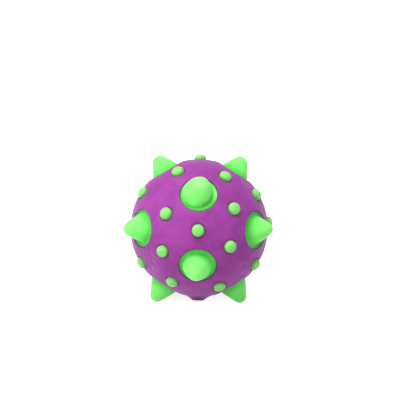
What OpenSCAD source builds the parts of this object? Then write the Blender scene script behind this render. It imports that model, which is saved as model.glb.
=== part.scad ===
// Soft rubber sensory ball. Its origin is the centre of the ball, and +Z is up. It stands on three spikes.

/* [Skin] */
// Diameter of the purple skin
ball_d = 65; // [62:0.5:80]
// Thickness of the skin
skin_wall = 2.2; // [1.8:0.1:2.6]
// Width of the bevel round each opening's lip
lip_bevel = 0.3; // [0.2:0.1:0.5]

/* [Inner ball] */
// Thickness of the inner ball's wall
inner_wall = 2.4; // [2:0.1:3]
// Gap between the skin and the inner ball
bond_gap = 0.1; // [0.05:0.01:0.15]
// Room left round a spike's flange on the flat land that it rests on
land_margin = 0.4; // [0.2:0.1:0.6]

/* [Spikes] */
// Height of a spike's tip above the skin
spike_rise = 8.2; // [7.6:0.1:10]
// Diameter of a spike at its waist
spike_d = 14; // [13.4:0.1:14.4]
// Depth of a spike's waist below the crown of the skin
waist_depth = 2; // [1.7:0.1:2.2]
// Radius of a spike's round tip
tip_radius = 3.1; // [2.7:0.1:3.6]
// Thickness of a spike's soft wall
spike_wall = 1.8; // [1.4:0.1:2]
// Radius of the hollow moat round a spike
moat_radius = 0.63; // [0.55:0.01:0.7]
// Height of the moat's outer wall above the middle of the moat
rim_rise = 0.2; // [0.1:0.05:0.4]
// Width of the thin rim outside the moat
rim_width = 0.25; // [0.2:0.05:0.4]
// How far a spike can be pressed in
spike_travel = 4; // [3:0.25:4.5]
// Length of a spike's stem that is still in its bore when it is pressed right in
stem_guide = 1.5; // [1.2:0.1:1.8]
// Width of the flange that holds a spike in
flange_width = 1.5; // [1.2:0.1:1.8]
// Thickness of that flange
flange_thickness = 1.2; // [1:0.1:1.5]
// Gap between a spike and the inner ball round it
slide_clearance = 0.12; // [0.1:0.01:0.2]
// Width of the dark ring between a spike's rim and the skin
ring_gap = 0.25; // [0.22:0.01:0.35]

/* [Studs] */
// Diameter of a stud
stud_d = 5.7; // [5:0.1:6.4]
// Height of a stud above the skin
stud_rise = 2.3; // [2:0.1:2.6]
// Height of the round part of a stud's head
stud_dome = 2.1; // [1.6:0.1:2.3]
// Gap between a stud and the skin round it
stud_gap = 0.25; // [0.15:0.01:0.3]

/* [Neck] */
// Height of the neck above the skin
neck_rise = 1.8; // [1.6:0.1:2.2]
// Diameter of the neck's end
neck_end_d = 5; // [4.8:0.1:5.6]
// Radius of the round edge of the neck's end
neck_edge_radius = 0.4; // [0.3:0.05:0.5]
// Radius of the neck's hollow flare
flare_radius = 7.5; // [6:0.5:9]
// How deep the flare dips into the skin where the two meet
flare_dip = 0.15; // [0.1:0.01:0.2]
// Diameter of the plug's shank
plug_d = 2.6; // [2.2:0.1:2.8]
// Diameter of the plug's head
plug_head_d = 3.6; // [3.2:0.1:4]
// Thickness of the plug's head
plug_head_thickness = 1.2; // [0.8:0.1:1.6]
// How far the plug's head lies below the neck's end
plug_recess = 0.3; // [0.1:0.1:0.5]
// Gap round the plug
plug_clearance = 0.05; // [0.02:0.01:0.08]

/* [Hidden] */
// How far a cutting shape runs past what it cuts
overrun = 1;
// How deep a stud or the neck is rooted in the wall that carries it
root_depth = 1;

// Pattern of the ball: spikes at the corners of an icosahedron, studs near the middles of its edges
golden_share = (1 + sqrt(5)) / 2;
corner_shares = [
    [0, 1, golden_share],
    [-1, golden_share, 0],
    [1, golden_share, 0],
    [-golden_share, 0, 1],
    [golden_share, 0, 1],
    [0, 1, -golden_share],
    [0, -1, golden_share],
    [-golden_share, 0, -1],
    [golden_share, 0, -1],
    [-1, -golden_share, 0],
    [1, -golden_share, 0],
    [0, -1, -golden_share]
];
neck_shares = [0, -1, 0];
// Two studs of the front, each between two corners, stand off the middle by these shares of the radius
top_stray_shares = [0.056, -0.057, 0.049];
side_stray_shares = [0.044, -0.085, 0.052];
// Tilt that stands the pattern on three of its corners
stand_tilt = atan2(golden_share, 2 * golden_share + 1);
// Neighbouring corners have this cosine between them
neighbour_share = 1 / sqrt(5);
cosine_tolerance_share = 0.01;
// The bonded seams lean this much off the neck's equator, so that they miss every stud
seam_lean_share = 0.135;
skin_seam_shares = [-seam_lean_share, 1, seam_lean_share];
inner_seam_shares = [-seam_lean_share, 1, -seam_lean_share];

function unit(v) = v / norm(v);
function stood(v) = unit([
    v.x,
    v.y * sin(stand_tilt) - v.z * cos(stand_tilt),
    v.y * cos(stand_tilt) + v.z * sin(stand_tilt)
]);

// Turns a place half round the front stud
function half_turned(v) = [-v.x, -v.y, v.z];
// Stray of the stud between two corners, given by their places in the list
function stray(i, j) =
    [i, j] == [0, 2] ? top_stray_shares
    : [i, j] == [6, 9] ? half_turned(top_stray_shares)
    : [i, j] == [0, 3] ? side_stray_shares
    : [i, j] == [4, 6] ? half_turned(side_stray_shares)
    : [0, 0, 0];

spike_ways = [for (c = corner_shares) stood(c)];
neck_way = stood(neck_shares);
edge_ways = [
    for (i = [0:len(spike_ways) - 2], j = [i + 1:len(spike_ways) - 1])
        if (abs(spike_ways[i] * spike_ways[j] - neighbour_share) < cosine_tolerance_share)
            stood(unit(corner_shares[i] + corner_shares[j]) + stray(i, j))
];
stud_ways = [for (w = edge_ways) if (w * neck_way < 1 - cosine_tolerance_share) w];

// Radii of the shells
ball_r = ball_d / 2;
skin_inner_r = ball_r - skin_wall;
inner_r = skin_inner_r - bond_gap;
cavity_r = inner_r - inner_wall;

// Sizes of a spike, seen along its own axis from the centre of the ball
spike_r = spike_d / 2;
waist_level = ball_r - waist_depth;
tip_level = ball_r + spike_rise - tip_radius;
// The straight flank touches the round tip and runs down to the waist
tip_to_waist = [spike_r, waist_level - tip_level];
flank_angle = acos(tip_radius / norm(tip_to_waist)) + atan2(tip_to_waist.y, tip_to_waist.x);
moat_x = spike_r + moat_radius * cos(flank_angle);
moat_level = waist_level + moat_radius * sin(flank_angle);
stem_r = moat_x + moat_radius + rim_width;
inner_stem_r = stem_r - spike_wall;
// Where the bowl's inside meets the stem's
bowl_angle = 180 + acos((moat_x - inner_stem_r) / (moat_radius + spike_wall));
flange_r = stem_r + flange_width;
bore_r = stem_r + slide_clearance;
opening_r = stem_r + ring_gap;
rim_level = moat_level + rim_rise;
land_level = rim_level - spike_travel - stem_guide;
land_r = sqrt(pow(cavity_r, 2) - pow(land_level, 2));
foot_level = land_level - flange_thickness;
lip_level = sqrt(pow(ball_r, 2) - pow(opening_r, 2));

// Sizes of a stud and its hole
stud_r = stud_d / 2;
stud_hole_r = stud_r + stud_gap;
stud_top = ball_r + stud_rise;
dome_radius = (pow(stud_r, 2) + pow(stud_dome, 2)) / (2 * stud_dome);
dome_angle = asin(stud_r / dome_radius);

// Sizes of the neck and its plug
neck_end_r = neck_end_d / 2;
neck_end_level = ball_r + neck_rise;
plug_r = plug_d / 2;
plug_bore_r = plug_r + plug_clearance;
plug_head_r = plug_head_d / 2;
plug_seat_r = plug_head_r + plug_clearance;
plug_end_level = neck_end_level - plug_recess;
plug_seat_level = plug_end_level - plug_head_thickness;
// The flare's arc touches the round edge of the neck's end and dips a little into the skin
edge_centre = [neck_end_r - neck_edge_radius, neck_end_level - neck_edge_radius];
edge_to_flare = neck_edge_radius + flare_radius;
root_to_flare = ball_r + flare_radius - flare_dip;
edge_angle = atan2(-edge_centre.y, -edge_centre.x) + acos(
    (edge_centre * edge_centre + pow(edge_to_flare, 2) - pow(root_to_flare, 2))
    / (2 * norm(edge_centre) * edge_to_flare));
flare_centre = edge_centre + edge_to_flare * [cos(edge_angle), sin(edge_angle)];
dip_angle = atan2(-flare_centre.y, -flare_centre.x);
neck_root_level = ball_r - root_depth;

arc_steps = 8;
round_steps = 96;
small_round_steps = 48;
purple = [0.62, 0.27, 0.64];
green = [0.5, 0.88, 0.44];

function arc(centre, radius, from, to) = [
    for (i = [0:arc_steps])
        let (a = from + (to - from) * i / arc_steps)
            centre + radius * [cos(a), sin(a)]
];

function tail(list) = [for (i = [1:len(list) - 1]) list[i]];

function reversed(list) = [for (i = [len(list) - 1:-1:0]) list[i]];

// Turns +Z to point along a way
module aim(way) {
    rotate([0, acos(way.z), atan2(way.y, way.x)]) children();
}

// A cylinder that starts at a level along a way and runs out past everything
module outward(way, radius, level, sides) {
    aim(way)
        translate([0, 0, level])
            cylinder(r = radius, h = ball_r + spike_rise - level, $fn = sides);
}

// Keeps the half of its children that lies on a way's side of the centre
module half(way) {
    intersection() {
        children();
        outward(way, ball_r + spike_rise, 0, small_round_steps);
    }
}

// Outline of a spike's round tip, drawn in by an inset
function tip(inset) = arc([0, tip_level], tip_radius - inset, 90, flank_angle);

// Outline of the moat's bowl from the waist outwards, drawn in by an inset
function bowl(inset, end_angle) =
    arc([moat_x, moat_level], moat_radius + inset, 180 + flank_angle, end_angle);

module spike(way) {
    color(green)
        aim(way)
            rotate_extrude($fn = round_steps)
                polygon(concat(
                    tip(0),
                    bowl(0, 360),
                    [
                        [stem_r - rim_width, rim_level],
                        [stem_r, rim_level],
                        [stem_r, land_level],
                        [flange_r, land_level],
                        [flange_r, foot_level],
                        [inner_stem_r, foot_level]
                    ],
                    reversed(bowl(spike_wall, bowl_angle)),
                    reversed(tip(spike_wall))
                ));
}

module stud(way) {
    aim(way)
        rotate_extrude($fn = small_round_steps)
            polygon(concat(
                [[0, inner_r - root_depth], [stud_r, inner_r - root_depth]],
                arc([0, stud_top - dome_radius], dome_radius, 90 - dome_angle, 90)
            ));
}

// The hollow of the inner ball, with a flat land behind each spike
module cavity() {
    difference() {
        sphere(r = cavity_r, $fn = round_steps);
        for (way = spike_ways) outward(way, land_r + overrun, land_level, round_steps);
    }
    for (way = spike_ways)
        aim(way)
            translate([0, 0, foot_level])
                cylinder(r = flange_r + land_margin, h = flange_thickness, $fn = round_steps);
}

module inner_ball() {
    difference() {
        union() {
            sphere(r = inner_r, $fn = round_steps);
            for (way = stud_ways) stud(way);
        }
        cavity();
        for (way = spike_ways) outward(way, bore_r, foot_level, round_steps);
        outward(neck_way, plug_bore_r, foot_level, small_round_steps);
    }
}

module neck() {
    aim(neck_way)
        rotate_extrude($fn = round_steps)
            polygon(concat(
                [[0, neck_root_level], -neck_root_level * [cos(dip_angle), sin(dip_angle)]],
                arc(flare_centre, flare_radius, dip_angle, edge_angle - 180),
                tail(arc(edge_centre, neck_edge_radius, edge_angle, 90)),
                [[0, neck_end_level]]
            ));
}

// An opening with its bevelled lip
module opening(way) {
    outward(way, opening_r, foot_level, round_steps);
    aim(way)
        translate([0, 0, lip_level - lip_bevel])
            cylinder(r1 = opening_r, r2 = opening_r + lip_bevel + overrun, h = lip_bevel + overrun,
                $fn = round_steps);
}

module outer_skin() {
    difference() {
        union() {
            sphere(r = ball_r, $fn = round_steps);
            neck();
        }
        sphere(r = skin_inner_r, $fn = round_steps);
        for (way = spike_ways) opening(way);
        for (way = stud_ways) outward(way, stud_hole_r, foot_level, small_round_steps);
        outward(neck_way, plug_bore_r, foot_level, small_round_steps);
        outward(neck_way, plug_seat_r, plug_seat_level, small_round_steps);
    }
}

module outer_skin_upper() {
    color(purple) half(stood(skin_seam_shares)) outer_skin();
}

module outer_skin_lower() {
    color(purple) half(-stood(skin_seam_shares)) outer_skin();
}

module inner_ball_upper() {
    color(green) half(stood(inner_seam_shares)) inner_ball();
}

module inner_ball_lower() {
    color(green) half(-stood(inner_seam_shares)) inner_ball();
}

module neck_plug() {
    color(purple)
        aim(neck_way) {
            translate([0, 0, cavity_r])
                cylinder(r = plug_r, h = plug_end_level - cavity_r, $fn = small_round_steps);
            translate([0, 0, plug_seat_level])
                cylinder(r = plug_head_r, h = plug_head_thickness, $fn = small_round_steps);
        }
}

outer_skin_upper();
outer_skin_lower();
inner_ball_upper();
inner_ball_lower();
neck_plug();
spike(spike_ways[0]);  // spike_top_front
spike(spike_ways[1]);  // spike_top_left
spike(spike_ways[2]);  // spike_top_right
spike(spike_ways[3]);  // spike_upper_left
spike(spike_ways[4]);  // spike_upper_right
spike(spike_ways[5]);  // spike_upper_back
spike(spike_ways[6]);  // spike_lower_front
spike(spike_ways[7]);  // spike_lower_left
spike(spike_ways[8]);  // spike_lower_right
spike(spike_ways[9]);  // spike_foot_left
spike(spike_ways[10]);  // spike_foot_right
spike(spike_ways[11]);  // spike_foot_back
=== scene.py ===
"""Dresses a soft rubber sensory ball.

A purple skin lies over a green inner ball, with studs, sprung spikes and a plugged neck.
"""

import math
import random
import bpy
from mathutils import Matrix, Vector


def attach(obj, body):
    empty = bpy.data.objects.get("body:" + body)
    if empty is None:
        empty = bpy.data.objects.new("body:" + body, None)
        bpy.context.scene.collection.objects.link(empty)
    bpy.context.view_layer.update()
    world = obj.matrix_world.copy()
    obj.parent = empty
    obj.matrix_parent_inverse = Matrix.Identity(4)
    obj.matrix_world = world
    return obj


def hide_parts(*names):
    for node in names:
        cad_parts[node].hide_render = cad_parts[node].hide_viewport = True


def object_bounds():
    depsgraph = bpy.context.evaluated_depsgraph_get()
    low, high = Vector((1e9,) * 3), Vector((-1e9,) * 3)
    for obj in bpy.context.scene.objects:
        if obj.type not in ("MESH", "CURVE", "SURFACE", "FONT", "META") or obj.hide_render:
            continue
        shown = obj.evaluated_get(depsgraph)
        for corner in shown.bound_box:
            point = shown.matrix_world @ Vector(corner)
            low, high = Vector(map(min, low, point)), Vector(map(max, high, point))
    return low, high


bl_info = {
    "name": "Soft Rubber Sensory Ball",
    "version": (1, 0, 0),
    "blender": (4, 5, 0),
    "location": "3D Viewport > Sidebar > Sensory Ball",
    "description": "Builds the rubber pieces of a spiked sensory ball and the stage it is seen on",
    "category": "Object",
}

from functools import partial
from itertools import combinations

import bmesh
import bpy
from bpy.props import FloatProperty, FloatVectorProperty, IntProperty, PointerProperty
from mathutils import Matrix, Vector, noise
from mathutils.geometry import delaunay_2d_cdt

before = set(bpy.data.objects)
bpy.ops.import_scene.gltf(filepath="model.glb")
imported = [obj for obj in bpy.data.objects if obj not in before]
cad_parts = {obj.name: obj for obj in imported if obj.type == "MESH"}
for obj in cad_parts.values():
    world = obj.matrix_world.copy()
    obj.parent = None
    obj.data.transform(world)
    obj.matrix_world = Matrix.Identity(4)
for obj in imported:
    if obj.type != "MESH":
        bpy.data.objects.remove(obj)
CAD_BOX = [list(corner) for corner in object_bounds()]
FLOOR_LEVEL = CAD_BOX[0][2]
MM = 0.001

# The ball's pattern: spikes at the corners of an icosahedron, and studs at the middles of its edges
GOLDEN = (1 + math.sqrt(5)) / 2
NEIGHBOUR_COSINE = 1 / math.sqrt(5)
COSINE_SLACK = 0.01
STAND_TILT = math.atan2(GOLDEN, 2 * GOLDEN + 1)
SPIKE_CORNERS = {
    "top_front": (0, 1, GOLDEN),
    "top_left": (-1, GOLDEN, 0),
    "top_right": (1, GOLDEN, 0),
    "upper_left": (-GOLDEN, 0, 1),
    "upper_right": (GOLDEN, 0, 1),
    "upper_back": (0, 1, -GOLDEN),
    "lower_front": (0, -1, GOLDEN),
    "lower_left": (-GOLDEN, 0, -1),
    "lower_right": (GOLDEN, 0, -1),
    "foot_left": (-1, -GOLDEN, 0),
    "foot_right": (1, -GOLDEN, 0),
    "foot_back": (0, -1, -GOLDEN),
}
# Studs that stand off the middle between two spikes, with their strays as shares of the radius
STUD_STRAYS = {
    ("top_front", "top_right"): (0.056, -0.057, 0.049),
    ("lower_front", "foot_left"): (-0.056, 0.057, 0.049),
    ("top_front", "upper_left"): (0.044, -0.085, 0.052),
    ("upper_right", "lower_front"): (-0.044, 0.085, 0.052),
    ("upper_right", "lower_right"): (0, 0.1, 0),
}
# The bonded seams lean off the neck's equator, so that they miss every stud
SKIN_SEAM = (-0.135, 1, 0.135)
INNER_SEAM = (-0.135, 1, -0.135)
# Spikes that are fuller than the others, with the settings of their shapes
FULLER_SPIKES = {"top_front": "round_spike", "lower_front": "full_spike"}
# Spikes that stand crooked: how far each is pushed aside, and how far each unit of its height is
# moved. A move back along the spike makes it shorter.
CROOKED_SPIKES = {
    "top_front": ((-0.0011, 0, 0), (0.235, 0.125, 0.095)),
    "top_left": ((0, 0, 0), (0.068, -0.039, -0.103)),
    "top_right": ((0, 0, 0), (-0.1, -0.026, -0.081)),
    "upper_left": ((0, 0, 0.0004), (0, 0, -0.08)),
    "upper_right": ((0, 0, 0), (-0.068, 0.039, 0.065)),
    "lower_front": ((-0.0002, 0, -0.0006), (-0.04, 0.03, 0.075)),
    "foot_left": ((0.0004, -0.0006, 0), (0, 0, 0)),
}
# How deep below a spike's waist its push fades out
PUSH_DEPTH = 2.5 * MM
# How far below the skin's crown a spike's surface starts to swell and sink
SMOOTH_DEPTH = 0.4 * MM
# Where the moat's painted shade starts and is full, and where the painted highlight on the far wall
# starts, all from the waist
MARK_OFFSETS = (-0.4 * MM, 0.5 * MM, -0.7 * MM)
# The pushes at which the painted highlight on the moat's far wall starts, and is full
LIT_WALL_PUSHES = (0.85 * MM, 1.25 * MM)
# How far apart the seeds are in the spikes' noise
SEED_STEP = 7.3
# Where the skin's swellings start in their noise, and the wall's innermost share without any
SWELL_START = (3, 5, 7)
STILL_SHARE = 0.05
# Where the pale streaks are strongest, as a painted highlight on wrinkles, on the front's lower
# left
STREAK_HIGHLIGHT_PLACE = (-0.0228, -0.0218, -0.0083)

# How many sides the round holes and the turned pieces have
OPENING_SIDES = 96
STUD_HOLE_SIDES = 40
NECK_SIDES = 48
BORE_SIDES = 72
PLUG_BORE_SIDES = 32
# Two rings of points lie round each hole's rim, this many of the rim's sides away from it
RING_STEPS = (0.85, 1.9)
# How much nearer to its own hole than to the next one a ring's point is, in the same measure
RING_MARGIN = 0.3
# How far other points stay off those rings, as a share of their spacing
RING_GAP = 0.75
# The area that one point has, as a share of the square of their spacing
POINT_AREA = 0.87
# How much farther apart the points of the skin's inside are
INSIDE_SPACING = 1.6
# Steps of the arcs in the outlines
ROUND_STEPS = 14
FLANK_STEPS = 16
EDGE_STEPS = 6
STUD_LIP_STEPS = 4
# How far the edges of the lands and the flanges are broken
EDGE_BREAK = 0.15 * MM
# Steepest turns between faces that still look smooth, in degrees
SHELL_CREASE = 40
TURNED_CREASE = 50

# Places in metres and sizes of the lamps
LAMPS = {
    "key": ((-0.2, -0.22, 1.1), 0.8),
    "side": ((-1, -0.6, 0.3), 0.6),
    "fill": ((0.8, -0.9, 0.6), 0.8),
}
# The floor is grey, with a glow that makes it white to the camera
FLOOR_GREY = 0.7
FLOOR_GLOW = 0.83


# ---- Properties ----


def length(name, description, millimetres):
    """A property for a length, given in millimetres."""
    metres = millimetres * MM
    return FloatProperty(
        name=name, description=description, default=metres, min=0, precision=5, unit="LENGTH"
    )


def tint(name, description, colour):
    """A property for a linear colour."""
    return FloatVectorProperty(
        name=name, description=description, default=colour, size=3, min=0, max=1, subtype="COLOR"
    )


def share(name, description, value):
    """A property for a share of a whole."""
    return FloatProperty(name=name, description=description, default=value, subtype="FACTOR")


def angle(name, description, degrees):
    """A property for an angle, given in degrees."""
    return FloatProperty(
        name=name, description=description, default=math.radians(degrees), subtype="ANGLE"
    )


def power(name, description, watts):
    """A property for a lamp's power."""
    return FloatProperty(name=name, description=description, default=watts, min=0, unit="POWER")


class SkinSizes(bpy.types.PropertyGroup):
    diameter: length("Diameter", "Diameter of the purple skin", 65)
    wall: length("Wall", "Thickness of the skin", 2.2)
    opening_radius: length("Opening radius", "Radius of the openings round the spikes", 8.7)
    lip_round: length("Lip rounding", "Radius of the rounding of each opening's lip", 0.45)
    stud_hole_radius: length("Stud hole radius", "Radius of the holes round the studs", 3.1)
    stud_lip_round: length("Stud lip rounding", "Radius of the rounding of a stud hole's lip", 0.35)
    unevenness: length("Unevenness", "How far the soft skin swells and sinks", 0.12)
    swell_size: length("Swell size", "Size of those swellings", 14)
    point_spacing: length("Point spacing", "Distance between the points of the skin's mesh", 0.95)


class InnerBallSizes(bpy.types.PropertyGroup):
    radius: length("Radius", "Outer radius of the green inner ball", 30.2)
    wall: length("Wall", "Thickness of the inner ball's wall", 2.4)
    bore_radius: length("Bore radius", "Radius of the bores that the stems slide in", 8.56)
    land_level: length("Land level", "Distance from the centre to the flanges' flat lands", 25.48)
    point_spacing: length("Point spacing", "Distance between the points of its mesh", 1.5)


class SpikeSizes(bpy.types.PropertyGroup):
    rise: length("Rise", "Height of a spike's tip above the skin", 8.2)
    wall: length("Wall", "Thickness of a spike's soft wall", 1.8)
    stem_radius: length("Stem radius", "Radius of a spike's stem", 8.44)
    rim_level: length("Rim level", "Distance from the centre to the rim round the moat", 30.98)
    rim_width: length("Rim width", "Width of the thin rim outside the moat", 0.25)
    flange_width: length("Flange width", "Width of the flange that holds a spike in", 1.5)
    flange_thickness: length("Flange thickness", "Thickness of that flange", 1.2)
    unevenness: length("Unevenness", "How far a spike's soft surface swells and sinks", 0.1)
    swell_size: length("Swell size", "Size of those swellings", 9)
    lean: angle("Lean", "Most that a spike leans off its own axis", 1.2)
    seed: IntProperty(name="Seed", description="Seed of the spikes' lean and unevenness", default=5)


def spike_shape(kind, radius, waist, tip, flank, moat):
    """The settings of one kind of spike, given in millimetres."""
    return {
        "radius": length("Radius", f"Radius of a {kind} spike at its waist", radius),
        "waist_depth": length("Waist depth", "Depth of that waist below the skin's crown", waist),
        "tip_radius": length("Tip radius", "Radius of its round tip", tip),
        "flank_radius": length("Flank radius", "Radius of the arc of its flank", flank),
        "moat_radius": length("Moat radius", "Radius of the hollow moat round it", moat),
    }


class SlimSpikeShape(bpy.types.PropertyGroup):
    __annotations__ = spike_shape("slim", radius=7, waist=2, tip=3.1, flank=60, moat=0.5)


class FullSpikeShape(bpy.types.PropertyGroup):
    __annotations__ = spike_shape("full", radius=6.9, waist=1.6, tip=4.3, flank=30, moat=0.6)


class RoundSpikeShape(bpy.types.PropertyGroup):
    __annotations__ = spike_shape("round", radius=7.2, waist=1.25, tip=4.7, flank=16, moat=0.6)


class StudSizes(bpy.types.PropertyGroup):
    radius: length("Radius", "Radius of a stud", 2.85)
    rise: length("Rise", "Height of a stud above the skin", 2.3)
    straight_rise: length("Straight rise", "Height of its straight part above the skin", 0.2)
    root: length("Root", "How deep a stud is rooted in the inner ball", 1)
    variation: share("Variation", "How much the studs differ in size", 0.04)
    seed: IntProperty(name="Seed", description="Seed of the studs' sizes", default=3)


class NeckSizes(bpy.types.PropertyGroup):
    rise: length("Rise", "Height of the neck above the skin", 1.8)
    end_radius: length("End radius", "Radius of the neck's end", 3.1)
    edge_radius: length("Edge radius", "Radius of the round edge of the neck's end", 0.7)
    flare_radius: length("Flare radius", "Radius of the neck's hollow flare", 9)
    plug_radius: length("Plug radius", "Radius of the plug's shank", 1.3)
    head_radius: length("Head radius", "Radius of the plug's head", 1.8)
    head_thickness: length("Head thickness", "Thickness of the plug's head", 1.2)
    recess: length("Recess", "How far the plug's head lies below the neck's end", 0.3)
    clearance: length("Clearance", "Gap round the plug", 0.05)


class RubberFinish(bpy.types.PropertyGroup):
    purple: tint("Purple", "Colour of the skin", (0.335, 0.05, 0.333))
    purple_deep: tint("Deep purple", "Colour of the skin's darker mottles", (0.28, 0.037, 0.282))
    # The scuff colour is also painted as highlight in the pale streaks on the front's lower left
    scuff_and_highlight: tint("Scuff", "Colour of the fine pale scuffs on the skin", (0.55, 0.2, 0.52))
    green: tint("Green", "Colour of the spikes' flanks", (0.21, 0.95, 0.16))
    # Pale green is random cloudy tone, and also painted highlight on the spikes' tips and the
    # moats' far walls
    green_pale_and_highlight: tint("Pale green", "Colour of the spikes' tips", (0.34, 0.96, 0.26))
    # The moats' deep green is painted shade
    green_moat_shade: tint("Deep green", "Colour of the moats round the spikes", (0.05, 0.68, 0.045))
    stud_green: tint("Stud green", "Colour of the studs' heads", (0.22, 0.67, 0.155))
    # The olive at the studs' feet is painted shade
    stud_foot_shade: tint("Stud olive", "Colour of the studs at their feet", (0.16, 0.42, 0.1))


class StageSettings(bpy.types.PropertyGroup):
    camera_elevation: angle("Camera elevation", "Height of the camera above the horizon", 23.08)
    camera_turn: angle("Camera turn", "How far to the right of the ball's front the camera is", 1)
    camera_roll: angle("Camera roll", "How far the camera is rolled", 0.62)
    camera_distance: length("Camera distance", "Distance from the camera to the ball's centre", 975)
    ball_span: share("Ball span", "Radius of the ball as a share of the picture's width", 0.1719)
    ball_right: share("Ball right", "How far right of the picture's middle the ball is", -0.00195)
    ball_down: share("Ball down", "How far below the picture's middle the ball is", 0.0696)
    key_power: power("Key power", "Power of the key lamp", 13.2)
    side_power: power("Side power", "Power of the side lamp", 4.7)
    fill_power: power("Fill power", "Power of the fill lamp", 1.5)
    sky: share("Sky", "Strength of the even light from all round", 0.38)


class BallSettings(bpy.types.PropertyGroup):
    skin: PointerProperty(type=SkinSizes)
    inner_ball: PointerProperty(type=InnerBallSizes)
    spike: PointerProperty(type=SpikeSizes)
    slim_spike: PointerProperty(type=SlimSpikeShape)
    full_spike: PointerProperty(type=FullSpikeShape)
    round_spike: PointerProperty(type=RoundSpikeShape)
    stud: PointerProperty(type=StudSizes)
    neck: PointerProperty(type=NeckSizes)
    rubber: PointerProperty(type=RubberFinish)
    stage: PointerProperty(type=StageSettings)


# ---- The pattern ----


def stood(shares):
    """A way in the pattern, turned so that the ball stands on three of its spikes."""
    x, y, z = shares
    sine, cosine = math.sin(STAND_TILT), math.cos(STAND_TILT)
    return Vector((x, y * sine - z * cosine, y * cosine + z * sine)).normalized()


def spike_way(place):
    """The way that a spike points."""
    return stood(SPIKE_CORNERS[place])


def neck_way():
    """The way that the neck points."""
    return stood((0, -1, 0))


def stud_ways():
    """The middles of the pattern's edges with their strays, less the one where the neck is."""
    ways = []
    for one, other in combinations(SPIKE_CORNERS, 2):
        corner, next_corner = (Vector(SPIKE_CORNERS[place]).normalized() for place in (one, other))
        if abs(corner.dot(next_corner) - NEIGHBOUR_COSINE) < COSINE_SLACK:
            middle = (corner + next_corner).normalized()
            ways.append(stood(middle + Vector(STUD_STRAYS.get((one, other), (0, 0, 0)))))
    return [way for way in ways if way.dot(neck_way()) < 1 - COSINE_SLACK]


def turned_to(way):
    """The turn that takes +Z to a way."""
    return way.to_track_quat("Z", "Y").to_matrix()


# ---- Mesh helpers ----


def polar(centre, radius, turn):
    """The point of an outline that lies this far from a centre, at an angle in radians."""
    return centre[0] + radius * math.cos(turn), centre[1] + radius * math.sin(turn)


def arc(centre, radius, start, stop, steps):
    """Points of an outline along an arc, each a distance from the axis and a level."""
    return [polar(centre, radius, start + (stop - start) * i / steps) for i in range(steps + 1)]


def triangle_angle(one, other, opposite):
    """The angle between two sides of a triangle, from its three sides."""
    return math.acos((one**2 + other**2 - opposite**2) / (2 * one * other))


def ring(bm, turn, radius, level, sides, stagger=0.0):
    """A ring of points round a way."""
    points = []
    for i in range(sides):
        x, y = polar((0, 0), radius, 2 * math.pi * (i + stagger) / sides)
        points.append(bm.verts.new(turn @ Vector((x, y, level))))
    return points


def bridge(bm, one, other):
    """Joins two rings of as many points with a band of faces."""
    for i in range(len(one)):
        j = (i + 1) % len(one)
        bm.faces.new((one[i], one[j], other[j], other[i]))


def pierced_sphere(bm, radius, holes, spacing):
    """A sphere of small triangles, open inside its holes, and the holes' rims.

    Each hole has its turn, its radius and its number of sides.
    """
    axes = [(turn @ Vector((0, 0, 1)), hole_radius / radius) for turn, hole_radius, sides in holes]

    def room(way, own):
        """The angle from a place to its own hole's rim, less that to the nearest other rim."""
        gaps = [
            math.acos(max(-1.0, min(1.0, way.dot(axis)))) - math.asin(sine) for axis, sine in axes
        ]
        return gaps[own] - min(gap for n, gap in enumerate(gaps) if n != own)

    rims = [ring(bm, turn, r, math.sqrt(radius**2 - r**2), sides) for turn, r, sides in holes]
    points = [point for rim in rims for point in rim]
    limits = []
    for own, (turn, hole_radius, sides) in enumerate(holes):
        step = 2 * math.pi * hole_radius / sides
        for steps, stagger in zip(RING_STEPS, (0.5, 0)):
            r = hole_radius + steps * step
            for point in ring(bm, turn, r, math.sqrt(radius**2 - r**2), sides, stagger):
                if room(point.co.normalized(), own) < -RING_MARGIN * step / radius:
                    points.append(point)
                else:
                    bm.verts.remove(point)
        reach = hole_radius + RING_STEPS[-1] * step + RING_GAP * spacing
        limits.append((axes[own][0], math.sqrt(1 - (reach / radius) ** 2)))
    # Between the rings, the points lie on a spiral that spaces them evenly
    count = int(4 * math.pi * radius**2 / (POINT_AREA * spacing**2))
    for i in range(count):
        z = 1 - (2 * i + 1) / count
        way = Vector((*polar((0, 0), math.sqrt(1 - z * z), 2 * math.pi * i / GOLDEN), z))
        if all(way.dot(axis) < cosine for axis, cosine in limits):
            points.append(bm.verts.new(way * radius))
    # Spread out flat round the first hole, the points have the same best triangles as on the sphere
    back = holes[0][0].transposed()
    flat = []
    for point in points:
        x, y, z = back @ point.co / radius
        flat.append(Vector((x / (1 - z), y / (1 - z))))
    edges, owners, first = [], [], 0
    for n, rim in enumerate(rims):
        edges += [(first + i, first + (i + 1) % len(rim)) for i in range(len(rim))]
        owners += [n] * len(rim)
        first += len(rim)
    owners += [-1] * (len(points) - first)
    laid = delaunay_2d_cdt(flat, edges, [], 0, 1e-9)
    for face in laid[2]:
        corners = [laid[3][i][0] for i in face]
        if owners[corners[0]] < 0 or len({owners[i] for i in corners}) > 1:
            bm.faces.new([points[i] for i in corners])
    return rims


def line_hole(bm, turn, outer_rim, inner_rim, profile):
    """Walls a hole between its two rims, along a profile of radii and levels."""
    last = outer_rim
    for radius, level in profile:
        band = ring(bm, turn, radius, level, len(outer_rim))
        bridge(bm, last, band)
        last = band
    bridge(bm, last, inner_rim)


def pierced_shell(radii, spacings, kinds):
    """A hollow ball with walled holes, from its radius and spacing outside and inside.

    Each kind of hole has its turns, its sides, its radius outside and inside, and its wall.
    """
    bm = bmesh.new()
    holes = [(turn, sides, sizes, wall) for turns, sides, sizes, wall in kinds for turn in turns]
    rims = []
    for n, (radius, spacing) in enumerate(zip(radii, spacings)):
        pierced = [(turn, sizes[n], sides) for turn, sides, sizes, _ in holes]
        rims.append(pierced_sphere(bm, radius, pierced, spacing))
    for (turn, _, _, wall), outer, within in zip(holes, *rims):
        line_hole(bm, turn, outer, within, wall)
    return bm


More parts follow.
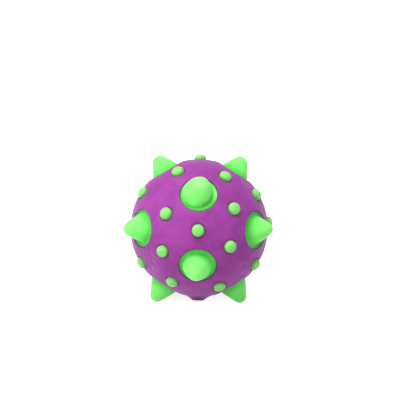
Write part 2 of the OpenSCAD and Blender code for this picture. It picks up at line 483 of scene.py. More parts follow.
def lip(radius, sphere_radius, rounding, steps):
    """Where a hole's rounded lip leaves the sphere, and its profile down to the hole's wall."""
    centre_r = radius + rounding
    centre = (centre_r, math.sqrt((sphere_radius - rounding) ** 2 - centre_r**2))
    start = math.atan2(centre[1], centre[0])
    points = arc(centre, rounding, start, math.pi, steps)
    return points[0][0], points[1:]


def swell(bm, inner_radius, wall, amount, size):
    """Swells and sinks the outside of a soft shell a little, and leaves its inside as it is."""
    for vert in bm.verts:
        depth = min(1.0, (vert.co.length - inner_radius) / wall)
        if depth > STILL_SHARE:
            way = vert.co.normalized()
            rise = noise.noise(way * (inner_radius / size) + Vector(SWELL_START))
            vert.co += way * (amount * depth * rise)


def cut_half(bm, way):
    """The closed half of a shell on a way's side of the centre."""
    half = bm.copy()
    everything = half.verts[:] + half.edges[:] + half.faces[:]
    cut = bmesh.ops.bisect_plane(half, geom=everything, dist=1e-7, plane_no=way, clear_inner=True)
    edges = [item for item in cut["geom_cut"] if isinstance(item, bmesh.types.BMEdge)]
    filled = bmesh.ops.holes_fill(half, edges=edges)
    bmesh.ops.triangulate(half, faces=filled["faces"])
    bmesh.ops.recalc_face_normals(half, faces=half.faces)
    return half


def closed_mesh(name, bm, material):
    """A smooth shaded mesh from one in the making, which has to be closed."""
    if any(len(edge.link_faces) != 2 for edge in bm.edges):
        raise RuntimeError(f"{name} isn't closed")
    mesh = bpy.data.meshes.new(name)
    bm.to_mesh(mesh)
    bm.free()
    mesh.shade_smooth()
    mesh.set_sharp_from_angle(angle=math.radians(SHELL_CREASE))
    mesh.materials.append(material)
    return mesh


def add_object(name, data):
    """A new object in the scene, at the origin."""
    made = bpy.data.objects.new(name, data)
    bpy.context.scene.collection.objects.link(made)
    return made


def seat(name, mesh, body, slot, *nodes):
    """Adds a piece that rides on its body, in place of its CAD nodes."""
    made = add_object(name, mesh)
    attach(made, body)
    if nodes:
        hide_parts(*nodes)


def seat_halves(bm, seam, name, finish, slot, node):
    """Adds the two halves of a shell on the ball, parted along a seam."""
    way = stood(seam)
    for half, side in (("upper", way), ("lower", -way)):
        mesh = closed_mesh(f"{name}_{half}", cut_half(bm, side), finish_named(finish))
        seat(f"{name}_{half}", mesh, "ball", slot, f"{node}_{half}")
    bm.free()


# ---- Node helpers ----


def feed_socket(socket, value):
    """Sets a socket to a plain value, or links it to a socket or to a node's first output."""
    if isinstance(value, bpy.types.Node):
        value = value.outputs[0]
    if isinstance(value, bpy.types.NodeSocket):
        socket.id_data.links.new(value, socket)
    else:
        socket.default_value = value


def feed(node, *values, **inputs):
    """Feeds a node's first inputs, and its named ones."""
    for socket, value in zip(node.inputs, values):
        feed_socket(socket, value)
    for name, value in inputs.items():
        feed_socket(node.inputs[name.replace("_", " ")], value)


def add_node(tree, kind, settings=None, **inputs):
    """Adds a node with its settings and its named inputs."""
    node = tree.nodes.new(kind)
    for name, value in (settings or {}).items():
        setattr(node, name, value)
    feed(node, **inputs)
    return node


def tree_of(values):
    """The tree that the first socket or node among some values is in."""
    linked = (bpy.types.NodeSocket, bpy.types.Node)
    return next(value.id_data for value in values if isinstance(value, linked))


def math_node(operation, *values, clamp=False):
    """A maths node of one or two values, numbers or sockets."""
    settings = {"operation": operation, "use_clamp": clamp}
    node = add_node(tree_of(values), "ShaderNodeMath", settings)
    feed(node, *values)
    return node


def vector_node(operation, *values):
    """A vector maths node of vectors or sockets, or of a vector and a scale."""
    node = add_node(tree_of(values), "ShaderNodeVectorMath", {"operation": operation})
    for n, value in enumerate(values):
        feed_socket(node.inputs["Scale" if operation == "SCALE" and n else n], value)
    return node.outputs["Value" if operation in ("LENGTH", "DOT_PRODUCT") else "Vector"]


plus = partial(math_node, "ADD")
minus = partial(math_node, "SUBTRACT")
times = partial(math_node, "MULTIPLY")
scaled = partial(vector_node, "SCALE")


def eased(value, low, high, start=0.0, stop=1.0):
    """Eases a value from low and high over to start and stop, all numbers or sockets."""
    node = add_node(value.id_data, "ShaderNodeMapRange", {"interpolation_type": "SMOOTHSTEP"})
    feed(node, value, low, high, start, stop)
    return node


def new_tree(name, inputs):
    """An empty geometry tree with named inputs, each a kind of socket and its default."""
    tree = bpy.data.node_groups.new(name, "GeometryNodeTree")
    tree.interface.new_socket("Geometry", in_out="INPUT", socket_type="NodeSocketGeometry")
    tree.interface.new_socket("Geometry", in_out="OUTPUT", socket_type="NodeSocketGeometry")
    for label, (kind, default) in inputs.items():
        socket = tree.interface.new_socket(label, in_out="INPUT", socket_type="NodeSocket" + kind)
        if default is not None:
            socket.default_value = default
        if kind == "Float":
            socket.subtype = "DISTANCE"
    return tree, tree.nodes.new("NodeGroupInput").outputs, tree.nodes.new("NodeGroupOutput").inputs


def finish_tree(tree, geometry, material, output):
    """Ends a tree in Realize Instances, smooth shading and Set Material."""
    real = add_node(tree, "GeometryNodeRealizeInstances", Geometry=geometry)
    smooth = add_node(tree, "GeometryNodeSetShadeSmooth", Geometry=real)
    painted = add_node(tree, "GeometryNodeSetMaterial", Geometry=smooth, Material=material)
    tree.links.new(painted.outputs[0], output)


def grow(name, mesh, tree, values):
    """The plain mesh that a tree, with these named inputs, makes of a mesh."""
    base = add_object(name + " base", mesh)
    modifier = base.modifiers.new(tree.name, "NODES")
    modifier.node_group = tree
    for item in tree.interface.items_tree:
        if item.item_type == "SOCKET" and item.in_out == "INPUT" and item.name in values:
            modifier[item.identifier] = values[item.name]
    ready = base.evaluated_get(bpy.context.evaluated_depsgraph_get())
    grown = bpy.data.meshes.new_from_object(ready)
    bpy.data.objects.remove(base)
    grown.name = name
    return grown


def turned_rubber_tree():
    """Turns a flat outline about +Z. Its X runs away from the axis, and its -Y runs up."""
    tree, given, output = new_tree(
        "Turned rubber",
        {
            "Sides": ("Int", OPENING_SIDES),
            "Axis Radius": ("Float", MM),
            "Waist Level": ("Float", 30 * MM),
            "Waist Radius": ("Float", 6.5 * MM),
            "Moat Radius": ("Float", 8 * MM),
            "Push": ("Vector", (0, 0, 0)),
            "Lean": ("Vector", (0, 0, 0)),
            "Unevenness": ("Float", 0.0),
            "Swell Size": ("Float", 10 * MM),
            "Smooth Below": ("Float", 30 * MM),
            "Seed": ("Int", 0),
            "Material": ("Material", None),
        },
    )
    outline = add_node(tree, "GeometryNodeMeshToCurve", Mesh=given["Geometry"])
    circle = add_node(tree, "GeometryNodeCurvePrimitiveCircle")
    feed(circle, Resolution=given["Sides"], Radius=given["Axis Radius"])
    turned = add_node(tree, "GeometryNodeCurveToMesh", Curve=circle, Profile_Curve=outline)
    welded = add_node(tree, "GeometryNodeMergeByDistance", Geometry=turned, Distance=0.001 * MM)
    place = add_node(tree, "GeometryNodeInputPosition")
    level = add_node(tree, "ShaderNodeSeparateXYZ", Vector=place).outputs["Z"]
    sideways = vector_node("MULTIPLY", place, (1, 1, 0))
    radial = vector_node("LENGTH", sideways)
    waist_level, waist = given["Waist Level"], given["Waist Radius"]

    # Inside the moat the rubber is pushed aside whole, and the moat's bowl takes the push up
    inside = eased(radial, given["Moat Radius"], waist)
    above_root = eased(level, minus(waist_level, PUSH_DEPTH), waist_level)
    pushed = scaled(given["Push"], times(inside, above_root))
    height = math_node("MAXIMUM", minus(level, waist_level), 0.0)
    leaned = scaled(given["Lean"], times(height, inside))
    crooked = vector_node("ADD", pushed, leaned)

    # The soft surface swells and sinks a little above the skin
    swell_size = given["Swell Size"]
    rough = add_node(
        tree,
        "ShaderNodeTexNoise",
        {"noise_dimensions": "4D"},
        Vector=place,
        W=times(given["Seed"], SEED_STEP),
        Scale=math_node("DIVIDE", 1.0, swell_size),
        Detail=1.0,
    ).outputs["Fac"]
    above = minus(level, given["Smooth Below"])
    steepness = math_node("DIVIDE", 2.0, swell_size)
    fade = times(above, steepness, clamp=True)
    either_way = times(minus(rough, 0.5), 2.0)
    amount = times(either_way, given["Unevenness"])
    normal = add_node(tree, "GeometryNodeInputNormal")
    swollen = scaled(normal, times(amount, fade))
    offset = vector_node("ADD", crooked, swollen)
    marked = add_node(tree, "GeometryNodeSetPosition", Geometry=welded, Offset=offset)

    # Marks for the finish: painted shade, deep green in the moat, and painted highlight, pale on
    # the moat's far wall on the side away from the push
    moat_start, moat_full, highlight_band_start = (plus(waist, offset) for offset in MARK_OFFSETS)
    away = vector_node("DOT_PRODUCT", vector_node("NORMALIZE", sideways), given["Push"])
    pull = eased(times(away, -1.0), *LIT_WALL_PUSHES)
    highlight_band = eased(radial, highlight_band_start, waist)
    marks = {
        "moat": eased(radial, moat_start, moat_full),
        "stretch": times(pull, highlight_band),
    }
    for label, value in marks.items():
        marked = add_node(
            tree,
            "GeometryNodeStoreNamedAttribute",
            {"data_type": "FLOAT", "domain": "POINT"},
            Geometry=marked,
            Name=label,
            Value=value,
        )
    finish_tree(tree, marked, given["Material"], output[0])
    return tree


def turned_mesh(name, outline, tree, way, values):
    """A turned piece from its outline of radii and levels, stood along a way."""
    axis_radius = MM
    mesh = bpy.data.meshes.new(name + " outline")
    points = [(r - axis_radius, -level, 0) for r, level in outline]
    mesh.from_pydata(points, [(i, i + 1) for i in range(len(points) - 1)], [])
    made = grow(name, mesh, tree, {"Axis Radius": axis_radius, **values})
    made.transform(turned_to(way).to_4x4())
    made.set_sharp_from_angle(angle=math.radians(TURNED_CREASE))
    return made


def stud_tree():
    """Sets a round headed stud on each point, straight out from the centre."""
    tree, given, output = new_tree(
        "Studs",
        {
            "Radius": ("Float", 2.9 * MM),
            "Straight": ("Float", 4.0 * MM),
            "Head": ("Float", 1.5 * MM),
            "Variation": ("Float", 0.04),
            "Seed": ("Int", 0),
            "Material": ("Material", None),
        },
    )
    ball = add_node(tree, "GeometryNodeMeshUVSphere", Segments=40, Rings=24, Radius=1.0)
    place = add_node(tree, "GeometryNodeInputPosition")
    parts = add_node(tree, "ShaderNodeSeparateXYZ", Vector=place).outputs
    rest = minus(1.0, math_node("POWER", parts["Z"], 2.0))
    across = math_node("SQRT", math_node("MAXIMUM", rest, 1e-4))
    # One power of a place's radius fills the head's shoulders out, and one makes the root straight
    shoulder = math_node("POWER", across, -0.18)
    root = math_node("POWER", across, -0.85)
    is_root = math_node("LESS_THAN", parts["Z"], -0.001)
    spread, depth = (
        add_node(tree, "ShaderNodeMix", {"data_type": "FLOAT"}, Factor=is_root, A=head, B=foot)
        for head, foot in ((shoulder, root), (given["Head"], given["Straight"]))
    )
    wide = times(spread, given["Radius"])
    sizes = add_node(tree, "ShaderNodeCombineXYZ", X=wide, Y=wide, Z=depth)
    shaped = vector_node("MULTIPLY", place, sizes)
    stud = add_node(tree, "GeometryNodeSetPosition", Geometry=ball, Position=shaped)
    foot = add_node(tree, "GeometryNodeInputPosition")
    aimed = add_node(tree, "FunctionNodeAlignRotationToVector", {"axis": "Z"}, Vector=foot)
    size = add_node(tree, "FunctionNodeRandomValue", {"data_type": "FLOAT"}, Seed=given["Seed"])
    feed_socket(size.inputs[2], minus(1.0, given["Variation"]))
    feed_socket(size.inputs[3], plus(1.0, given["Variation"]))
    set_out = add_node(
        tree,
        "GeometryNodeInstanceOnPoints",
        Points=given["Geometry"],
        Instance=stud,
        Rotation=aimed,
        Scale=size.outputs[1],
    )
    finish_tree(tree, set_out, given["Material"], output[0])
    return tree


# ---- Finishes ----


def grain(place, size, **kind):
    """Noise of a size in metres, from 0 to 1."""
    return add_node(place.id_data, "ShaderNodeTexNoise", Vector=place, Scale=1.0 / size, **kind)


def mapped(place, kind, turn, scale):
    """The place, turned and scaled, for patterns that run one way."""
    node = add_node(place.id_data, "ShaderNodeMapping", {"vector_type": kind})
    feed(node, Vector=place, Rotation=turn, Scale=scale)
    return node


def blend_tints(factor, one, other):
    """Mixes two colours or colour sockets."""
    node = add_node(factor.id_data, "ShaderNodeMix", {"data_type": "RGBA"})
    feed(node, factor)
    for socket, value in zip(node.inputs[6:8], (one, other)):
        is_socket = isinstance(value, bpy.types.NodeSocket)
        feed_socket(socket, value if is_socket else (*value, 1))
    return node.outputs[2]


def bump(height, strength, distance, **under):
    """Relief of a height in metres, over another normal if one is given."""
    node = add_node(height.id_data, "ShaderNodeBump", Height=height, **under)
    feed(node, Strength=strength, Distance=distance)
    return node


def softened_normal(place, amount):
    """The surface's normal, turned partly outwards, as light that scatters in rubber evens it."""
    ways = {"vector_type": "NORMAL", "convert_from": "OBJECT", "convert_to": "WORLD"}
    outwards = add_node(place.id_data, "ShaderNodeVectorTransform", ways)
    feed(outwards, vector_node("NORMALIZE", place))
    normal = add_node(place.id_data, "ShaderNodeNewGeometry").outputs["Normal"]
    turn = scaled(vector_node("SUBTRACT", outwards, normal), amount)
    return vector_node("NORMALIZE", vector_node("ADD", normal, turn))


def rubber(name, scatter, scatter_radius, roughness, specular):
    """Makes a finish, and gives its shader and the place on the piece."""
    material = bpy.data.materials.new(name)
    material.use_nodes = True
    tree = material.node_tree
    shader = tree.nodes["Principled BSDF"]
    place = tree.nodes.new("ShaderNodeTexCoord").outputs["Object"]
    patchy = grain(place, 5 * MM)
    feed(
        shader,
        Specular_IOR_Level=specular,
        Subsurface_Weight=scatter,
        Subsurface_Radius=scatter_radius,
        Subsurface_Scale=1.0,
        Roughness=eased(patchy, 0.3, 0.7, roughness - 0.05, roughness + 0.06),
    )
    return shader, place


def purple_rubber(finish, ball_radius):
    """Satin purple rubber, faintly mottled, wrinkled and scuffed, with painted highlight in pale
    streaks on the front's lower left, and painted shade darker on its cut walls.
    """
    shader, place = rubber(
        "Purple rubber", 0.06, (0.0012, 0.0004, 0.0012), roughness=0.52, specular=0.15
    )
    mottle = grain(place, 9 * MM, Detail=3.0, Roughness=0.6, Distortion=0.6)
    mottle = eased(mottle, 0.35, 0.68)
    colour = blend_tints(mottle, finish.purple, finish.purple_deep)
    # Fine pale streaks run along one way: faint scuffs in a few patches, and in a stronger patch on
    # the front's lower left a painted highlight on wrinkles
    along = mapped(place, "TEXTURE", (0, 0.76, -0.55), (4, 1, 1))
    streaks = grain(along, 0.7 * MM, Roughness=0.6)
    streaks = eased(streaks, 0.5, 0.68, 0.0, 0.55)
    patches = eased(grain(place, 16 * MM), 0.55, 0.7, 0.0, 0.5)
    # Painted highlight: the streaks are strongest round one place on the front's lower left
    off_streak_highlight = vector_node("LENGTH", vector_node("SUBTRACT", place, STREAK_HIGHLIGHT_PLACE))
    streak_highlight = eased(off_streak_highlight, 3 * MM, 10 * MM, 1.0, 0.0)
    patches = math_node("MAXIMUM", patches, streak_highlight)
    scuffs_and_highlight = times(streaks, patches)
    colour = blend_tints(scuffs_and_highlight, colour, finish.scuff_and_highlight)
    # Painted shade: the cut walls of the openings, under the skin's outer face, are darker
    distance = vector_node("LENGTH", place)
    painted_wall_shade = eased(distance, ball_radius - 0.9 * MM, ball_radius - 0.25 * MM, 0.55, 0.0)
    colour = blend_tints(painted_wall_shade, colour, tuple(0.5 * part for part in finish.purple_deep))
    squeezed = mapped(place, "POINT", (0.4, 0.9, 0.3), (1.0, 2.6, 0.8))
    creases = grain(squeezed, 3.4 * MM, Detail=3.0, Roughness=0.55, Distortion=1.2)
    creased = bump(creases, 0.22, 0.25 * MM)
    feed(
        shader,
        Base_Color=colour,
        Normal=bump(grain(place, 0.32 * MM), 0.14, 0.05 * MM, Normal=creased),
        Sheen_Weight=0.12,
        Sheen_Roughness=0.4,
    )


def green_rubber(finish, ball_radius):
    """Translucent green rubber, with painted shade deep green in the moats and low on the spikes,
    and painted highlight pale at the tips and on the moats' far walls.
    """
    shader, place = rubber(
        "Green rubber", 0.35, (0.0008, 0.0018, 0.0006), roughness=0.42, specular=0.25
    )
    wander = times(minus(grain(place, 6 * MM), 0.5), 1.6 * MM)
    level = plus(vector_node("LENGTH", place), wander)
    # Painted highlight: the spikes turn pale towards their tips
    pale = eased(level, ball_radius + 4 * MM, ball_radius + 10.5 * MM)
    colour = blend_tints(pale, finish.green, finish.green_pale_and_highlight)
    moat, stretch = (
        add_node(place.id_data, "ShaderNodeAttribute", {"attribute_name": name}).outputs["Fac"]
        for name in ("moat", "stretch")
    )
    # Painted shade: deep green in the moats and low on the spikes
    deep = eased(level, ball_radius - 2.2 * MM, ball_radius + 3.4 * MM, 1.0, 0.0)
    deep = math_node("MAXIMUM", deep, times(moat, 0.9))
    colour = blend_tints(deep, colour, finish.green_moat_shade)
    cloud = grain(place, 3.5 * MM, Detail=3.0, Roughness=0.6)
    cloud = eased(cloud, 0.4, 0.75, 0.0, 0.16)
    colour = blend_tints(cloud, colour, finish.green_pale_and_highlight)
    # Painted highlight: pale on the moat's far wall, on the side away from the push
    colour = blend_tints(stretch, colour, finish.green_pale_and_highlight)
    soft = softened_normal(place, eased(deep, 0.0, 1.0, 0.3, 0.85))
    waved = bump(grain(place, 2.4 * MM), 0.12, 0.2 * MM, Normal=soft)
    pored = bump(grain(place, 0.35 * MM), 0.1, 0.04 * MM, Normal=waved)
    feed(shader, Base_Color=colour, Normal=pored)


def stud_rubber(finish, ball_radius):
    """The green rubber of the studs, with painted shade olive round their feet."""
    shader, place = rubber(
        "Stud rubber", 0.25, (0.001, 0.002, 0.0008), roughness=0.45, specular=0.25
    )
    distance = vector_node("LENGTH", place)
    # Painted shade: olive round the studs' feet, where they meet the skin
    foot = eased(distance, ball_radius - 0.2 * MM, ball_radius + 1.9 * MM, 1.0, 0.0)
    colour = blend_tints(foot, finish.stud_green, finish.stud_foot_shade)
    cloud = grain(place, 1.2 * MM, Detail=3.0, Roughness=0.6)
    cloud = eased(cloud, 0.35, 0.75, 0.0, 0.3)
    colour = blend_tints(cloud, colour, finish.green_pale_and_highlight)
    relief = bump(grain(place, 0.9 * MM), 0.2, 0.12 * MM)
    feed(shader, Base_Color=colour, Normal=relief)


def finish_named(name):
    """A finish that is there already."""
    found = bpy.data.materials.get(name)
    if found is None:
        raise RuntimeError(f"make the finishes first: there is no {name}")
    return found


# ---- Operators ----


class BALL_OT_finishes(bpy.types.Operator):
    """Make the purple, green and stud rubber"""

    bl_idname = "sensory_ball.finishes"
    bl_label = "Rubber Finishes"

    def execute(self, context):
        settings = context.scene.sensory_ball
        for make in (purple_rubber, green_rubber, stud_rubber):
            make(settings.rubber, settings.skin.diameter / 2)
        return {"FINISHED"}


class BALL_OT_skin(bpy.types.Operator):
    """Build the two halves of the purple skin, with its openings and its neck"""

    bl_idname = "sensory_ball.skin"
    bl_label = "Skin"

    def execute(self, context):
        settings = context.scene.sensory_ball
        skin, neck = settings.skin, settings.neck
        radius = skin.diameter / 2
        inner = radius - skin.wall
        opening, hole = skin.opening_radius, skin.stud_hole_radius
        opening_rim, opening_wall = lip(opening, radius, skin.lip_round, EDGE_STEPS)
        hole_rim, hole_wall = lip(hole, radius, skin.stud_lip_round, STUD_LIP_STEPS)
        neck_rim, neck_wall = self.neck_outline(neck, radius)
        bore = neck.plug_radius + neck.clearance
        openings = [turned_to(spike_way(place)) for place in SPIKE_CORNERS]
        holes = [turned_to(way) for way in stud_ways()]
        bm = pierced_shell(
            (radius, inner),
            (skin.point_spacing, INSIDE_SPACING * skin.point_spacing),
            (
                (openings, OPENING_SIDES, (opening_rim, opening), opening_wall),
                (holes, STUD_HOLE_SIDES, (hole_rim, hole), hole_wall),
                ([turned_to(neck_way())], NECK_SIDES, (neck_rim, bore), neck_wall),
            ),
        )
        swell(bm, inner, skin.wall, skin.unevenness, skin.swell_size)
        seat_halves(bm, SKIN_SEAM, "skin", "Purple rubber", "purple_rubber", "outer_skin")
        return {"FINISHED"}

    @staticmethod
    def neck_outline(neck, radius):
        """Where the neck's flare leaves the sphere, and its profile from there into its bore."""
        end = radius + neck.rise
        edge = (neck.end_radius - neck.edge_radius, end - neck.edge_radius)
        # The flare's circle touches both the sphere and the round edge
        to_edge = neck.edge_radius + neck.flare_radius
        to_flare = radius + neck.flare_radius
        turn = math.atan2(-edge[1], -edge[0])
        turn += triangle_angle(math.hypot(*edge), to_edge, to_flare)
        centre = polar(edge, to_edge, turn)
        start = math.atan2(-centre[1], -centre[0])
        curve = arc(centre, neck.flare_radius, start, turn - math.pi, ROUND_STEPS)
        curve += arc(edge, neck.edge_radius, turn, math.pi / 2, EDGE_STEPS)[1:]
        seat_radius = neck.head_radius + neck.clearance
        seat_level = end - neck.recess - neck.head_thickness
        small = min(0.12 * MM, (edge[0] - seat_radius) / 2)
        curve += [
            (seat_radius + small, end),
            (seat_radius, end - small),
            (seat_radius, seat_level),
            (neck.plug_radius + neck.clearance, seat_level),
        ]
        return curve[0][0], curve[1:]


class BALL_OT_inner_ball(bpy.types.Operator):
    """Build the two halves of the green inner ball that the spikes slide in"""

    bl_idname = "sensory_ball.inner_ball"
    bl_label = "Inner Ball"

    def execute(self, context):
        settings = context.scene.sensory_ball
        inner, neck = settings.inner_ball, settings.neck
        cavity = inner.radius - inner.wall
        land_radius = math.sqrt(cavity**2 - inner.land_level**2)
        bore = inner.bore_radius
        land = [(bore, inner.land_level + EDGE_BREAK), (bore + EDGE_BREAK, inner.land_level)]
        plug_bore = neck.plug_radius + neck.clearance
        bores = [turned_to(spike_way(place)) for place in SPIKE_CORNERS]
        bm = pierced_shell(
            (inner.radius, cavity),
            (inner.point_spacing, inner.point_spacing),
            (
                (bores, BORE_SIDES, (bore, land_radius), land),
                ([turned_to(neck_way())], PLUG_BORE_SIDES, (plug_bore, plug_bore), []),
            ),
        )
        seat_halves(bm, INNER_SEAM, "inner_shell", "Green rubber", "green_rubber", "inner_ball")
        return {"FINISHED"}


class BALL_OT_studs(bpy.types.Operator):
    """Set the round headed studs of the inner ball in the holes of the skin"""

    bl_idname = "sensory_ball.studs"
    bl_label = "Studs"

    def execute(self, context):
        settings = context.scene.sensory_ball
        stud = settings.stud
        radius = settings.skin.diameter / 2
        shoulder = radius + stud.straight_rise
        feet = bpy.data.meshes.new("stud feet")
        feet.from_pydata([way * shoulder for way in stud_ways()], [], [])
        mesh = grow(
            "studs",
            feet,
            stud_tree(),
            {
                "Radius": stud.radius,
                "Straight": shoulder - settings.inner_ball.radius + stud.root,
                "Head": stud.rise - stud.straight_rise,
                "Variation": stud.variation,
                "Seed": stud.seed,
                "Material": finish_named("Stud rubber"),
            },
        )
        seat("studs", mesh, "ball", "green_rubber")
        return {"FINISHED"}


class BALL_OT_spikes(bpy.types.Operator):
    """Turn the twelve hollow spikes that can be pressed into the ball"""

    bl_idname = "sensory_ball.spikes"
    bl_label = "Spikes"

    def execute(self, context):
        settings = context.scene.sensory_ball
        spike = settings.spike
        radius = settings.skin.diameter / 2
        tree = turned_rubber_tree()
        chance = random.Random(spike.seed)
        for n, place in enumerate(SPIKE_CORNERS):
            shape = getattr(settings, FULLER_SPIKES.get(place, "slim_spike"))
            way = spike_way(place)
            upright = turned_to(way).transposed()
            crooked = CROOKED_SPIKES.get(place, ((0, 0, 0), (0, 0, 0)))
            push, lean = (upright @ Vector(aside) for aside in crooked)
            turn = chance.uniform(0, 2 * math.pi)
            slope = math.tan(spike.lean) * chance.uniform(0.3, 1)
            lean += Vector((slope * math.cos(turn), slope * math.sin(turn), 0))
            mesh = turned_mesh(
                f"horn_{place}",
                self.outline(spike, shape, radius, settings.inner_ball.land_level),
                tree,
                way,
                {
                    "Waist Level": radius - shape.waist_depth,
                    "Waist Radius": shape.radius,
                    "Moat Radius": spike.stem_radius - spike.rim_width,
                    "Push": (push.x, push.y, 0),
                    "Lean": tuple(lean),
                    "Unevenness": spike.unevenness,
                    "Swell Size": spike.swell_size,
                    "Smooth Below": radius - SMOOTH_DEPTH,
                    "Seed": spike.seed + n,
                    "Material": finish_named("Green rubber"),
                },
            )
            body = f"spike_{place}"
            seat(f"horn_{place}", mesh, body, "green_rubber", body)
        return {"FINISHED"}

    @staticmethod
    def outline(spike, shape, radius, land_level):
        """The spike's outline from its tip down to its flange, and back up inside it."""
        tip_level = radius + spike.rise - shape.tip_radius
        waist_level = radius - shape.waist_depth
        # The flank's arc touches the round tip and ends at the waist
        flank = shape.flank_radius
        drop = tip_level - waist_level
        turn = math.atan2(drop, -shape.radius)
        turn += triangle_angle(math.hypot(shape.radius, drop), flank, flank - shape.tip_radius)
        flank_centre = polar((shape.radius, waist_level), flank, turn)
        flank_start = math.atan2(tip_level - flank_centre[1], -flank_centre[0])
        flank_end = turn - math.pi
        moat_centre = polar((shape.radius, waist_level), shape.moat_radius, flank_end)

        def bell(inset, moat_end):
            """The tip, the flank and the moat, or the same inside the wall."""
            tip = shape.tip_radius - inset
            moat = shape.moat_radius + inset
            points = arc((0, tip_level), tip, math.pi / 2, flank_start, ROUND_STEPS)
            points += arc(flank_centre, flank - inset, flank_start, flank_end, FLANK_STEPS)[1:]
            points += arc(moat_centre, moat, math.pi + flank_end, moat_end, ROUND_STEPS)[1:]
            return points

        stem = spike.stem_radius
        within = stem - spike.wall
        flange = stem + spike.flange_width
        foot = land_level - spike.flange_thickness
        half_rim = spike.rim_width / 2
        rim = (stem - half_rim, spike.rim_level - half_rim)
        # The moat's far wall slopes up to the rim
        outside = bell(0, 1.75 * math.pi)
        outside += arc(rim, half_rim, math.pi, 0, EDGE_STEPS)
        outside += [
            (stem, land_level),
            (flange - EDGE_BREAK, land_level),
            (flange, land_level - EDGE_BREAK),
            (flange, foot + EDGE_BREAK),
            (flange - EDGE_BREAK, foot),
        ]
        moat_end = math.pi + math.acos((moat_centre[0] - within) / (shape.moat_radius + spike.wall))
        return outside + [(within, foot)] + bell(spike.wall, moat_end)[::-1]


class BALL_OT_neck_plug(bpy.types.Operator):
    """Turn the plug that closes the neck"""

    bl_idname = "sensory_ball.neck_plug"
    bl_label = "Neck Plug"

    def execute(self, context):
        settings = context.scene.sensory_ball
        neck, inner = settings.neck, settings.inner_ball
        top = settings.skin.diameter / 2 + neck.rise - neck.recess
        under = top - neck.head_thickness
        bottom = inner.radius - inner.wall
        head, shank = neck.head_radius, neck.plug_radius
        small = 0.25 * MM
        # The head is slightly domed, with a round edge
        outline = [
            (0, top + 0.12 * MM),
            (0.6 * head, top + 0.07 * MM),
            (head - small, top - 0.04 * MM),
            (head - 0.3 * small, top - 0.3 * small),
            (head, top - small),
            (head, under),
            (shank, under),
            (shank, bottom),
            (0, bottom),
        ]
        mesh = turned_mesh(
            "plug",
            outline,
            bpy.data.node_groups["Turned rubber"],
            neck_way(),
            {"Sides": NECK_SIDES, "Material": finish_named("Purple rubber")},
        )
        seat("plug", mesh, "ball", "purple_rubber", "neck_plug")
        return {"FINISHED"}


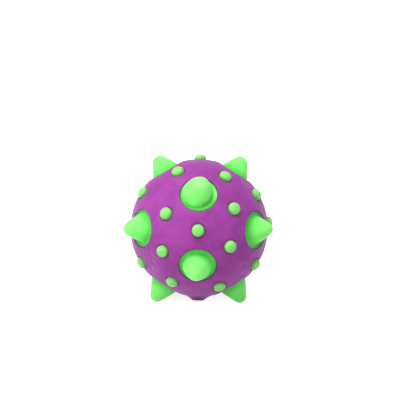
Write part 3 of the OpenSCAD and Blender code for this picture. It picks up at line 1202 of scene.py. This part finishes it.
class BALL_OT_stage(bpy.types.Operator):
    """Set the pale floor, the soft light and the camera"""

    bl_idname = "sensory_ball.stage"
    bl_label = "Stage"

    def execute(self, context):
        settings = context.scene.sensory_ball
        self.add_floor()
        context.scene.world = self.white_room(settings.stage.sky)
        for name, (place, size) in LAMPS.items():
            lamp = bpy.data.lights.new(f"{name} lamp", "AREA")
            lamp.size = size
            lamp.energy = getattr(settings.stage, f"{name}_power")
            holder = add_object(lamp.name, lamp)
            holder.location = place
            holder.rotation_mode = "QUATERNION"
            holder.rotation_quaternion = (-Vector(place)).to_track_quat("-Z", "Y")
        context.scene.camera = self.add_camera(settings.stage, settings.skin.diameter / 2)
        context.scene.view_settings.view_transform = "Standard"
        return {"FINISHED"}

    @staticmethod
    def add_floor():
        """A white floor that keeps the ball's shadow."""
        bm = bmesh.new()
        bmesh.ops.create_grid(bm, x_segments=8, y_segments=8, size=2.5)
        bmesh.ops.translate(bm, verts=bm.verts, vec=(0, 0, FLOOR_LEVEL))
        mesh = bpy.data.meshes.new("floor")
        bm.to_mesh(mesh)
        bm.free()
        material = bpy.data.materials.new("White floor")
        material.use_nodes = True
        tree = material.node_tree
        tree.nodes.clear()
        matt = add_node(tree, "ShaderNodeBsdfDiffuse", Color=(FLOOR_GREY,) * 3 + (1,))
        lift = times(seen_directly(tree), FLOOR_GLOW)
        glow = add_node(tree, "ShaderNodeEmission", Color=(1, 1, 1, 1), Strength=lift)
        both = tree.nodes.new("ShaderNodeAddShader")
        feed(both, matt, glow)
        add_node(tree, "ShaderNodeOutputMaterial", Surface=both)
        mesh.materials.append(material)
        add_object("floor", mesh)

    @staticmethod
    def white_room(strength):
        """Even white light from all round, which the camera sees as plain white."""
        world = bpy.data.worlds.new("white room")
        world.use_nodes = True
        tree = world.node_tree
        tree.nodes.clear()
        level = eased(seen_directly(tree), 0.0, 1.0, strength, 1.0)
        light = add_node(tree, "ShaderNodeBackground", Color=(1, 1, 1, 1), Strength=level)
        add_node(tree, "ShaderNodeOutputWorld", Surface=light)
        return world

    @staticmethod
    def add_camera(stage, radius):
        """A long lens at the photograph's angle, in front of the ball and above it."""
        lens = bpy.data.cameras.new("camera")
        reach = radius / math.sqrt(stage.camera_distance**2 - radius**2)
        lens.sensor_width = 36
        lens.lens = lens.sensor_width * stage.ball_span / reach
        lens.shift_x = -stage.ball_right
        lens.shift_y = stage.ball_down
        lens.clip_start = 0.01
        lens.clip_end = 20
        camera = add_object("camera", lens)
        tilt = math.pi / 2 - stage.camera_elevation
        aim = Matrix.Rotation(stage.camera_turn, 4, "Z") @ Matrix.Rotation(tilt, 4, "X")
        camera.location = aim @ Vector((0, 0, stage.camera_distance))
        camera.rotation_mode = "QUATERNION"
        roll = Matrix.Rotation(stage.camera_roll, 4, "Z")
        camera.rotation_quaternion = (aim @ roll).to_quaternion()
        return camera


def seen_directly(tree):
    """1 for what the camera sees, also in a reflection or through a clear piece, otherwise 0."""
    path = tree.nodes.new("ShaderNodeLightPath").outputs
    seen = math_node("MAXIMUM", path["Is Camera Ray"], path["Is Glossy Ray"])
    return math_node("MAXIMUM", seen, path["Is Transmission Ray"])


# ---- Panel and registration ----


class BALL_PT_panel(bpy.types.Panel):
    """Lists the steps that build the ball, and its settings"""

    bl_idname = "BALL_PT_panel"
    bl_label = "Sensory Ball"
    bl_space_type = "VIEW_3D"
    bl_region_type = "UI"
    bl_category = "Sensory Ball"

    def draw(self, context):
        for operator in OPERATORS:
            self.layout.operator(operator.bl_idname)
        settings = context.scene.sensory_ball
        for part in BallSettings.__annotations__:
            box = self.layout.box()
            group = getattr(settings, part)
            for name in type(group).__annotations__:
                box.prop(group, name)


OPERATORS = (
    BALL_OT_finishes,
    BALL_OT_skin,
    BALL_OT_inner_ball,
    BALL_OT_studs,
    BALL_OT_spikes,
    BALL_OT_neck_plug,
    BALL_OT_stage,
)
CLASSES = (
    SkinSizes,
    InnerBallSizes,
    SpikeSizes,
    SlimSpikeShape,
    FullSpikeShape,
    RoundSpikeShape,
    StudSizes,
    NeckSizes,
    RubberFinish,
    StageSettings,
    BallSettings,
    *OPERATORS,
    BALL_PT_panel,
)


def register():
    for item in CLASSES:
        bpy.utils.register_class(item)
    bpy.types.Scene.sensory_ball = PointerProperty(type=BallSettings)


def unregister():
    del bpy.types.Scene.sensory_ball
    for item in reversed(CLASSES):
        bpy.utils.unregister_class(item)


def main():
    """Builds every piece in order."""
    register()
    bpy.ops.sensory_ball.finishes()
    bpy.ops.sensory_ball.skin()
    bpy.ops.sensory_ball.inner_ball()
    bpy.ops.sensory_ball.studs()
    bpy.ops.sensory_ball.spikes()
    bpy.ops.sensory_ball.neck_plug()
    bpy.ops.sensory_ball.stage()


if __name__ == "__main__":
    main()
